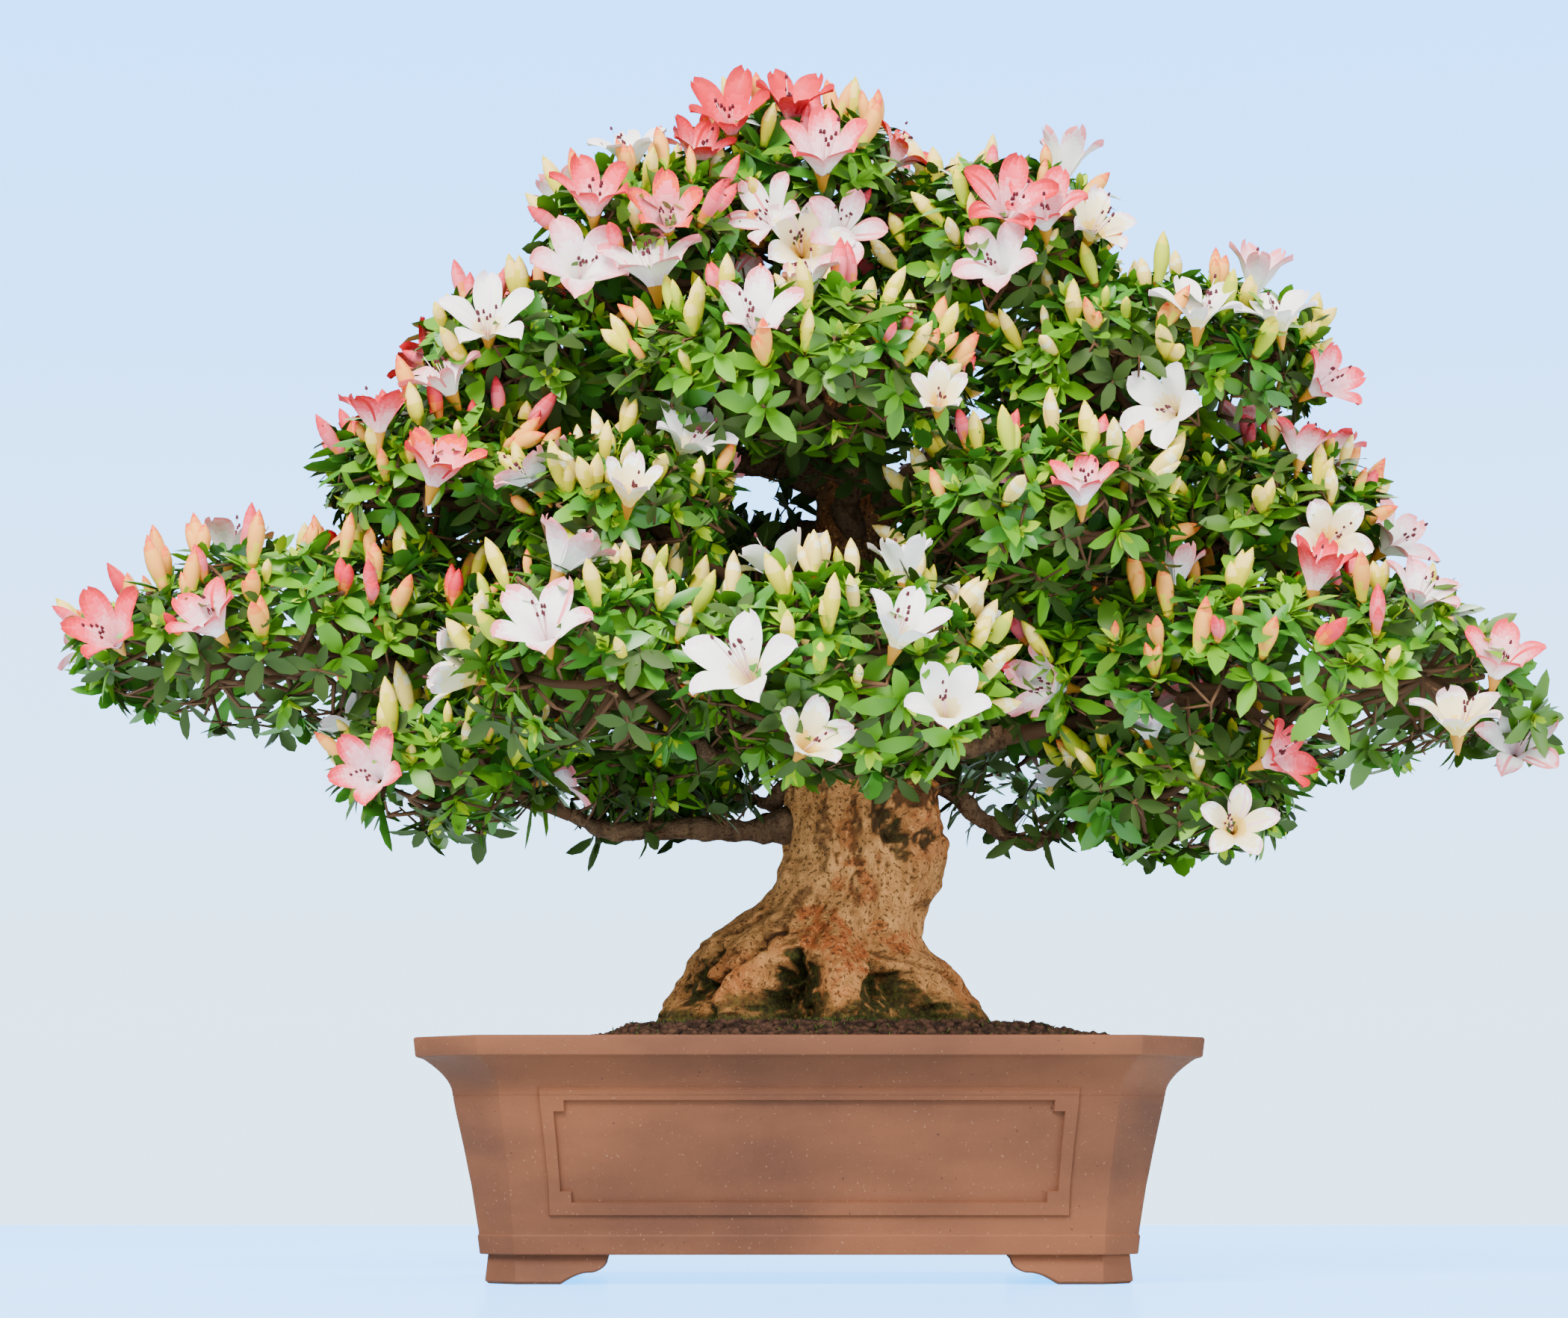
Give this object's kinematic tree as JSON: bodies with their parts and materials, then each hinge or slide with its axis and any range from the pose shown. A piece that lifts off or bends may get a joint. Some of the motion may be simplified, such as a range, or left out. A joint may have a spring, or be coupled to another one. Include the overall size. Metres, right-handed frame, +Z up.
{
  "type": "azalea bonsai in a pot",
  "caption": "Flowering azalea bonsai with a flared trunk, tiered boughs and pads of foliage, in a rectangular clay pot with cut corners on feet.",
  "frame": {"origin": "on the ground plane, under the middle of the whole plant and its pot", "axes": "+Z up, the front of the tree faces -Y, +X is to the right seen from the front"},
  "size_m": [1.021, 0.5815, 0.816],
  "materials": {
    "clay": "unglazed reddish-brown stoneware, matt, faintly speckled",
    "soil": "dark red-brown fired clay granules with moss",
    "bark": "tan to orange-brown bark with pale flecks and mossy hollows",
    "foliage": "small glossy evergreen leaves",
    "blossom": "soft petals from white and blush to coral pink, with cream-yellow buds"
  },
  "bodies": {
    "root": {"pot": "clay", "pot_foot_front_left": "clay", "pot_foot_front_right": "clay", "pot_foot_back_left": "clay", "pot_foot_back_right": "clay", "soil": "soil", "trunk": "bark", "bough_crown_left": "bark", "bough_crown_right": "bark", "bough_crown_back": "bark", "bough_left_upper": "bark", "bough_right_upper": "bark", "bough_front_upper": "bark", "bough_back_left_upper": "bark", "bough_back_right_upper": "bark", "bough_left_middle": "bark", "bough_right_middle": "bark", "bough_front_left_middle": "bark", "bough_front_right_middle": "bark", "bough_left_lower": "bark", "bough_right_lower": "bark", "bough_front_left_lower": "bark", "bough_front_lower": "bark", "bough_back_left_lower": "bark", "bough_back_middle": "bark", "bough_back_right_lower": "bark", "bough_left_lowest": "bark", "bough_left_inner": "bark", "bough_right_lowest": "bark", "mass_crown_top": "foliage", "mass_crown_left": "foliage", "mass_crown_right": "foliage", "mass_crown_back": "foliage", "mass_left_upper": "foliage", "mass_right_upper": "foliage", "mass_front_upper": "foliage", "mass_back_left_upper": "foliage", "mass_back_right_upper": "foliage", "mass_left_middle": "foliage", "mass_right_middle": "foliage", "mass_front_left_middle": "foliage", "mass_front_right_middle": "foliage", "mass_left_lower": "foliage", "mass_right_lower": "foliage", "mass_front_left_lower": "foliage", "mass_front_lower": "foliage", "mass_back_left_lower": "foliage", "mass_back_middle": "foliage", "mass_back_right_lower": "foliage", "mass_left_lowest": "foliage", "mass_left_inner": "foliage", "mass_right_lowest": "foliage"}
  },
  "joints": []
}
